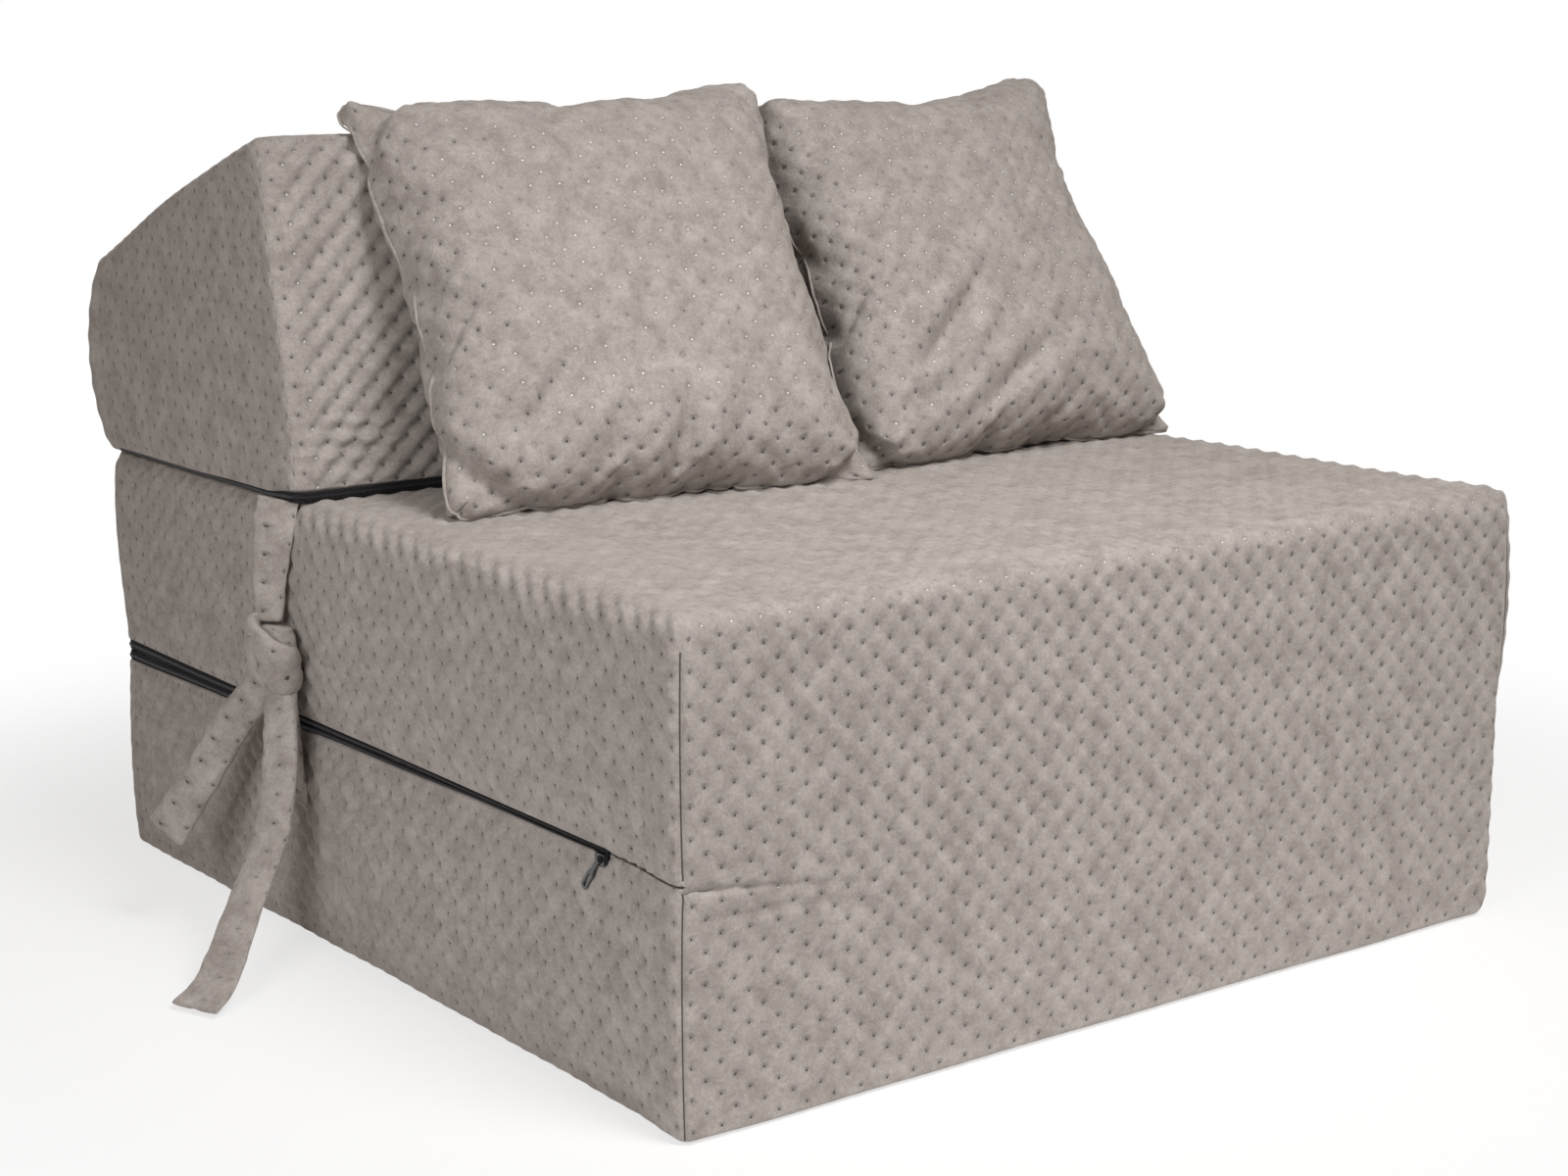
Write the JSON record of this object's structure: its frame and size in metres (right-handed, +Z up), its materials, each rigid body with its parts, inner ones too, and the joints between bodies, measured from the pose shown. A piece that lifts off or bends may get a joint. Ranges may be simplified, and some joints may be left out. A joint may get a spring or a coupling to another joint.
{
  "type": "convertible chair bed",
  "caption": "Low folding foam armless chair that opens flat into a single bed: two hinged blocks, a wedge backrest, zipped quilted covers, tie straps and loose scatter pillows.",
  "frame": {"origin": "centre of the base block's underside, on the floor", "axes": "+Z up, the front face towards -Y, +X to the right as one faces the front"},
  "size_m": [1.0996, 0.8512, 0.6536],
  "materials": {
    "quilted_velour": "matt taupe-grey velour, quilted in small diamonds",
    "foam": "open-cell foam",
    "zip_tape": "black woven tape and coil",
    "zip_metal": "gloss black",
    "seam_thread": "sewn seam",
    "pillow_fibre": "loose fibre filling"
  },
  "bodies": {
    "base": {"base_foam": "foam", "base_cover": "quilted_velour", "base_zip": "zip_tape", "front_fold_seam": "seam_thread", "tie_lower_left": "quilted_velour", "tie_lower_right": "quilted_velour"},
    "seat": {"seat_foam": "foam", "seat_cover": "quilted_velour", "seat_zip": "zip_tape", "rear_fold_seam": "seam_thread"},
    "backrest": {"backrest_foam": "foam", "backrest_cover": "quilted_velour", "backrest_zip": "zip_tape", "tie_upper_left": "quilted_velour", "tie_upper_right": "quilted_velour"},
    "pillow_left": {"pillow_left_cover": "quilted_velour", "pillow_left_fill": "pillow_fibre"},
    "pillow_right": {"pillow_right_cover": "quilted_velour", "pillow_right_fill": "pillow_fibre"},
    "base_slider": {"base_zip_slider": "zip_metal"},
    "base_pull": {"base_zip_pull": "zip_metal"},
    "seat_slider": {"seat_zip_slider": "zip_metal"},
    "seat_pull": {"seat_zip_pull": "zip_metal"},
    "backrest_slider": {"backrest_zip_slider": "zip_metal"},
    "backrest_pull": {"backrest_zip_pull": "zip_metal"}
  },
  "joints": [
    {"name": "seat_fold", "type": "hinge", "parent": "base", "child": "seat", "pos_m": [0, -0.425, 0.175], "axis": [1, 0, 0], "range_deg": [0, 180]},
    {"name": "backrest_fold", "type": "hinge", "parent": "seat", "child": "backrest", "pos_m": [0, 0.425, 0.35], "axis": [-1, 0, 0], "range_deg": [0, 180]},
    {"name": "pillow_left_lift", "type": "slide", "parent": "backrest", "child": "pillow_left", "axis": [0, 0, 1], "range_m": [0, 0.35]},
    {"name": "pillow_right_lift", "type": "slide", "parent": "backrest", "child": "pillow_right", "axis": [0, 0, 1], "range_m": [0, 0.35]},
    {"name": "base_zip_slide", "type": "slide", "parent": "base", "child": "base_slider", "axis": [0, 1, 0], "range_m": [0, 0.7]},
    {"name": "base_pull_swing", "type": "hinge", "parent": "base_slider", "child": "base_pull", "pos_m": [-0.3984, -0.326, 0.17], "axis": [1, 0, 0], "range_deg": [-128, 52]},
    {"name": "seat_zip_slide", "type": "slide", "parent": "seat", "child": "seat_slider", "axis": [0, 1, 0], "range_m": [0, 0.7]},
    {"name": "seat_pull_swing", "type": "hinge", "parent": "seat_slider", "child": "seat_pull", "pos_m": [0.3984, -0.326, 0.18], "axis": [1, 0, 0], "range_deg": [-90, 90]},
    {"name": "backrest_zip_slide", "type": "slide", "parent": "backrest", "child": "backrest_slider", "axis": [0, -1, 0], "range_m": [0, 0.2]},
    {"name": "backrest_pull_swing", "type": "hinge", "parent": "backrest_slider", "child": "backrest_pull", "pos_m": [0.4048, 0.385, 0.355], "axis": [1, 0, 0], "range_deg": [-90, 90]}
  ],
  "couplings": [
    {"joint": "backrest_fold", "follows": "seat_fold", "ratio": 1}
  ]
}
